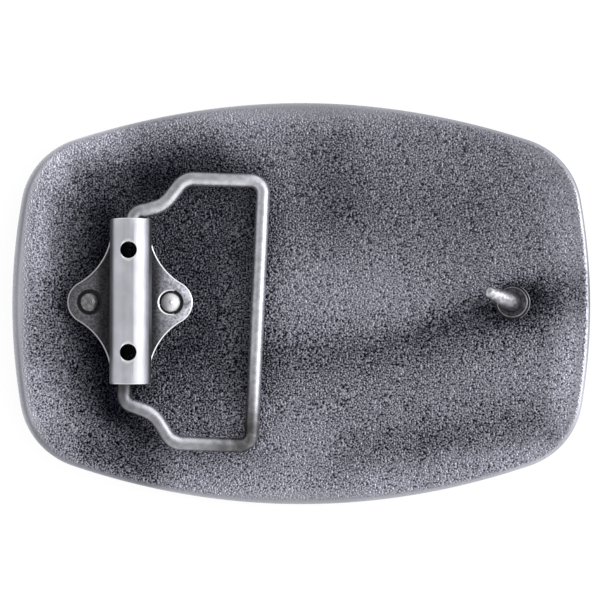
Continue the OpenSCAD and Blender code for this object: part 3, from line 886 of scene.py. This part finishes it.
def build_rivet(name, side, material):
    """Rivet with a domed head, a small nib on its crown and a shank down into the plate."""
    dome_steps = 16
    dome_start, wall_share, nib_share = 0.985, 0.8, 0.8
    brim = RIVET_HEAD_HEIGHT / 4
    dome = RIVET_HEAD_HEIGHT - brim
    dome_radius = (RIVET_HEAD_RADIUS ** 2 + dome ** 2) / (2 * dome)
    middle = (0, RIVET_HEAD_HEIGHT - dome_radius)
    nib_radius = RIVET_HEAD_RADIUS / 5
    edge_angle = math.acos(RIVET_HEAD_RADIUS * dome_start / dome_radius)
    nib_angle = math.acos(nib_radius / dome_radius)
    seat = SHEET - SEAT_DEPTH
    profile = [(RIVET_SHANK_RADIUS, -(seat + PAD_HEIGHT + RIVET_DEPTH)), (RIVET_SHANK_RADIUS, 0),
               (RIVET_HEAD_RADIUS, 0), (RIVET_HEAD_RADIUS, brim * wall_share)]
    profile += round_profile(middle, dome_radius, edge_angle, nib_angle, dome_steps)
    profile += [(nib_radius * nib_share, profile[-1][1] + nib_radius * (1 - nib_share)),
                (nib_radius / 3, RIVET_HEAD_HEIGHT + nib_radius / 4)]
    place = on_plate(HINGE_FOOT) @ Matrix.Translation((side * RIVET_SPACING / 2, 0, PAD_HEIGHT + seat))
    mesh = make_mesh(name, [material], *lathe(profile, place))
    make_piece(name, mesh, "buckle", name.replace("_head", ""))


def build_prong():
    """Peg on a tenon, bent over above the collar, with a tapered shaft and a round tip."""
    bend_steps, shaft_steps, tip_steps = 12, 10, 10
    shoulder = 0.01 * MM
    tip_turn = math.radians(86)
    place = on_plate(PRONG_FOOT)
    root_top = PRONG_PAD_HEIGHT + COLLAR_FLOOR + COLLAR_RIM
    lean_to = Vector((-math.cos(PRONG_TURN), math.sin(PRONG_TURN), 0))
    up = Vector((0, 0, 1))
    line = [up * -TENON_DEPTH, up * (PRONG_PAD_HEIGHT - shoulder), up * PRONG_PAD_HEIGHT]
    radii = [TENON_RADIUS, TENON_RADIUS, PRONG_ROOT_RADIUS]
    for turn in np.linspace(0, PRONG_LEAN, bend_steps):
        rise, lean = PRONG_BEND * math.sin(turn), PRONG_BEND * (1 - math.cos(turn))
        line.append(up * (root_top + rise) + lean_to * lean)
        radii.append(PRONG_ROOT_RADIUS)
    ahead = lean_to * math.sin(PRONG_LEAN) + up * math.cos(PRONG_LEAN)
    start = line[-1]
    for share in np.linspace(0, 1, shaft_steps)[1:]:
        line.append(start + ahead * PRONG_SHAFT * share)
        radii.append(PRONG_ROOT_RADIUS + (PRONG_TIP_RADIUS - PRONG_ROOT_RADIUS) * share)
    for turn in np.linspace(0, tip_turn, tip_steps)[1:]:
        line.append(start + ahead * (PRONG_SHAFT + PRONG_TIP_RADIUS * math.sin(turn)))
        radii.append(PRONG_TIP_RADIUS * math.cos(turn))
    mesh = make_mesh("prong_peg", [prong_nickel], *sweep([place @ spot for spot in line], radii))
    make_piece("prong_peg", mesh, "buckle", "prong")


def build_collar():
    """Dished ring round the root of the prong, worn bright along the crest of its rounded rim."""
    crest_steps = 14
    first_worn, last_worn = 4, 12
    rim = COLLAR_RIM / 2
    bore = PRONG_ROOT_RADIUS + HOLE_GAP
    middle = (COLLAR_RADIUS - rim, COLLAR_HEIGHT - rim)
    profile = [(bore, 0), (COLLAR_RADIUS, 0)]
    profile += round_profile(middle, rim, 0, np.pi, crest_steps)
    profile.append((bore, COLLAR_FLOOR))
    place = on_plate(PRONG_FOOT) @ Matrix.Translation((0, 0, PRONG_PAD_HEIGHT))
    points, faces = lathe(profile, place, closed=True)
    slots = np.repeat([first_worn <= ring <= last_worn for ring in range(len(profile))], LATHE_SIDES)
    mesh = make_mesh("collar_ring", [collar_nickel, worn_and_lit_rim], points, faces, slots.astype(int).tolist())
    make_piece("collar_ring", mesh, "buckle", "prong_collar")


build_rivet("rivet_left_head", -1, rivet_dark)
build_rivet("rivet_right_head", 1, rivet_bright)
build_prong()
build_collar()


# Hinge bracket

def ear_outline():
    """Plan of the two ears with the strip between them, as points and the moves that inset them by one."""
    end_steps, hollow_steps = 28, 32
    rivet = np.array([RIVET_SPACING / 2, 0])
    root = np.array([BARREL_RADIUS, EAR_ROOT])
    flank = circles_meet(rivet, EAR_END_RADIUS + EAR_FLANK_RADIUS, root, EAR_FLANK_RADIUS)
    end_turn = math.atan2(*(flank - rivet)[::-1])
    from_turn, to_turn = (math.atan2(*(spot - flank)[::-1]) for spot in (rivet, root))
    end = np.linspace(0, end_turn, end_steps)[:, None]
    hollow = np.linspace(from_turn, to_turn, hollow_steps)[1:, None]
    end_out = np.hstack([np.cos(end), np.sin(end)])
    hollow_out = -np.hstack([np.cos(hollow), np.sin(hollow)])
    points = np.vstack([rivet + EAR_END_RADIUS * end_out, flank - EAR_FLANK_RADIUS * hollow_out])
    moves = -np.vstack([end_out, hollow_out])
    moves[-1] = (moves[-1] + [0, -1]) / (1 - moves[-1][1])
    quarters = []
    for flip, order in (((1, 1), 1), ((-1, 1), -1), ((-1, -1), 1), ((1, -1), -1)):
        quarter = np.hstack([points * flip, moves * flip])[::order]
        quarters.append(quarter[:-1] if order == -1 else quarter)
    rows = np.vstack(quarters)
    return rows[:, :2], rows[:, 2:]


def ear_solid(place):
    """Both ears with rounded upper edges, as points, faces and material slots."""
    points, moves = ear_outline()
    count = len(points)
    levels = [(0, 0), (0, SHEET - EAR_ROUNDING)]
    levels += [(EAR_ROUNDING * (1 - math.cos(turn)), SHEET - EAR_ROUNDING + EAR_ROUNDING * math.sin(turn))
               for turn in np.radians([30, 60, 90])]
    spots = [place @ Vector((*(point + inset * move), height))
             for inset, height in levels for point, move in zip(points, moves)]
    slots = [EAR] * count + [EDGE] * (len(levels) - 2) * count + [EAR, EAR]
    return spots, capped_faces(len(levels), count), slots


def tube_solid(place):
    """Barrel with softened ends, as points, faces and material slots."""
    round_steps = 5
    half = BARREL_LENGTH / 2
    lip = BARREL_ROUNDING / 2
    middle = (BARREL_RADIUS - BARREL_ROUNDING, half - BARREL_ROUNDING)
    upper = [(BARREL_RADIUS, half - BARREL_ROUNDING)]
    upper += round_profile(middle, BARREL_ROUNDING, 0, np.pi / 2, round_steps)[1:]
    upper += [(BORE_RADIUS + lip, half), (BORE_RADIUS, half - lip)]
    profile = upper + [(radius, -height) for radius, height in reversed(upper)]
    along = place @ Matrix.Translation((0, 0, BARREL_RADIUS)) @ Matrix.Rotation(math.pi / 2, 4, "X")
    points, faces = lathe(profile, along, BARREL_SIDES, closed=True)
    end_bands = [EDGE] * (len(upper) - 1)
    bands = end_bands + [RECESS] + end_bands + [TUBE]
    return points, faces, np.repeat(bands, BARREL_SIDES).tolist()


def seam_cutter(place):
    """Block that cuts the seam under the barrel, up into its bore."""
    beyond = 1 * MM
    below_axis = 0.6 * MM
    half, side = BARREL_LENGTH / 2 + beyond, SEAM_WIDTH / 2
    corners = [(-side, -half), (side, -half), (side, half), (-side, half)]
    points = [place @ Vector((*corner, height))
              for height in (-beyond, BARREL_RADIUS - below_axis) for corner in corners]
    faces = capped_faces(2, len(corners))
    return points, faces, [RECESS] * len(faces)


def seat_cutter(place, side):
    """Rivet hole with its sunk seat. The right one's bevel has a painted highlight on the side that faces the
    lamp, not at the end of the ear.
    """
    beyond = 1 * MM
    lit_up_to = 0.3
    seat = SHEET - SEAT_DEPTH
    hole = RIVET_SHANK_RADIUS + HOLE_GAP
    profile = [(hole, -beyond), (hole, seat), (SEAT_FLOOR_RADIUS, seat),
               (SEAT_RADIUS - 2 * SEAT_BEVEL, SHEET - SEAT_BEVEL),
               (SEAT_RADIUS + 4 * SEAT_BEVEL, SHEET + 2 * SEAT_BEVEL)]
    points, faces = lathe(profile, place @ Matrix.Translation((side * RIVET_SPACING / 2, 0, 0)))
    # Painted highlight on the right seat's bevel, on the side that faces the lamp on the right
    worn = (side > 0) & (facing(LATHE_SIDES) < lit_up_to)
    slots = [RECESS] * (len(profile) - 2) * LATHE_SIDES + np.where(worn, EDGE, RECESS).tolist()
    return points, faces, slots + [RECESS, RECESS]


def crest_cutter(place, side):
    """Hole through the crest of the barrel, with a bevel that is worn bright."""
    profile = [(CREST_HOLE_RADIUS, 0), (CREST_HOLE_RADIUS, BARREL_RADIUS - CREST_HOLE_BEVEL),
               (CREST_HOLE_RADIUS + 4 * CREST_HOLE_BEVEL, BARREL_RADIUS + CREST_HOLE_BEVEL)]
    top = (place @ Matrix.Translation((0, side * CREST_HOLE_SPACING / 2, BARREL_RADIUS))
           @ Matrix.Rotation(-CREST_HOLE_TURN, 4, "Y"))
    points, faces = lathe(profile, top)
    return points, faces, [RECESS] * LATHE_SIDES + [EDGE] * LATHE_SIDES + [RECESS, RECESS]


def cutters(place):
    """Seam, rivet holes and crest holes, as one mesh's points, faces and material slots."""
    solids = [seam_cutter(place)]
    for side in (-1, 1):
        solids += [seat_cutter(place, side), crest_cutter(place, side)]
    return join(solids)


def build_bracket():
    """Barrel and ears as one stamping, with its seam and holes cut."""
    place = on_plate(HINGE_FOOT) @ Matrix.Translation((0, 0, PAD_HEIGHT))
    finishes = [tube_nickel, ear_nickel, worn_and_lit_edge, dark_recess]
    tube, ears, tools = (make_mesh("hinge_stamping", finishes, *solid(place))
                         for solid in (tube_solid, ear_solid, cutters))
    mesh = carve(carve(tube, ears, "UNION"), tools, "DIFFERENCE")
    mesh.name = "hinge_stamping"
    make_piece("hinge_stamping", mesh, "buckle", "hinge_bracket")


build_bracket()


# Floor, lights and camera

def build_floor():
    """White floor that the camera and the metal see bright, and that lights the buckle as a pale one does."""
    size = 1.5
    pale_grey, faint_grey, white = ((level, level, level, 1) for level in (0.8, 0.22, 1))
    glow_strength = 0.85
    corners = [(-size, -size, 0), (size, -size, 0), (size, size, 0), (-size, size, 0)]
    material, tree, shader = new_material("white_floor")
    tree.nodes.remove(shader)
    rays = add(tree, "ShaderNodeLightPath").outputs
    seen = math_node(tree, "MAXIMUM", rays["Is Camera Ray"],
                     math_node(tree, "MAXIMUM", rays["Is Glossy Ray"], rays["Is Transmission Ray"]))
    pale = add(tree, "ShaderNodeBsdfDiffuse", {"Color": pale_grey}).outputs[0]
    faint = add(tree, "ShaderNodeBsdfDiffuse", {"Color": faint_grey}).outputs[0]
    glow = add(tree, "ShaderNodeEmission", {"Color": white, "Strength": glow_strength}).outputs[0]
    bright = add(tree, "ShaderNodeAddShader", {0: faint, 1: glow}).outputs[0]
    both = add(tree, "ShaderNodeMixShader", {0: seen, 1: pale, 2: bright}).outputs[0]
    tree.links.new(both, tree.nodes["Material Output"].inputs["Surface"])
    floor = new_object("floor", make_mesh("floor", [material], corners, [(0, 1, 2, 3)]))


def build_world():
    """Light that is dim above, brighter to the left and to both long sides, and brightest to the right."""
    above, to_right, to_left, to_long_sides = 0.5, 0.75, 0.32, 0.25
    world = bpy.data.worlds.new("studio")
    bpy.context.scene.world = world
    world.use_nodes = True
    tree = world.node_tree
    background = tree.nodes["Background"]
    direction = add(tree, "ShaderNodeTexCoord").outputs["Generated"]
    x, y = coordinate(tree, direction, "X"), coordinate(tree, direction, "Y")
    right = spread(tree, x, -0.15, 0.8, 0.0, to_right)
    left = spread(tree, x, -0.2, -0.9, 0.0, to_left)
    across = spread(tree, math_node(tree, "ABSOLUTE", y), 0.2, 0.85, 0.0, to_long_sides)
    sides = math_node(tree, "ADD", math_node(tree, "ADD", left, right), across)
    put(tree, background.inputs["Strength"], math_node(tree, "ADD", sides, above))
    background.inputs["Color"].default_value = (1, 1, 1, 1)


def build_softbox():
    """Lamp to the right of the buckle and above it, aimed at its middle."""
    spot = Vector((240 * MM, 30 * MM, 170 * MM))
    power = 0.27
    data = bpy.data.lights.new("right_softbox", "AREA")
    data.shape = "RECTANGLE"
    data.size = 120 * MM
    data.size_y = 200 * MM
    data.energy = power
    light = new_object("right_softbox", data)
    light.location = spot
    light.rotation_mode = "QUATERNION"
    light.rotation_quaternion = (-spot).to_track_quat("-Z", "Y")


def build_camera():
    """Camera nearly straight above the buckle, as in the photograph."""
    target = Vector((-0.21 * MM, 0.28 * MM, 8 * MM))
    tilt = math.radians(2.2)
    distance = 300 * MM
    frame_width = 99 * MM
    data = bpy.data.cameras.new("camera")
    data.sensor_width = 36
    data.lens = data.sensor_width * distance / frame_width
    data.clip_start = 0.01
    data.clip_end = 10
    camera = new_object("camera", data)
    camera.location = target + distance * Vector((0, -math.sin(tilt), math.cos(tilt)))
    camera.rotation_euler = (tilt, 0, 0)
    bpy.context.scene.camera = camera


build_floor()
build_world()
build_softbox()
build_camera()
bpy.context.scene.view_settings.view_transform = "Standard"
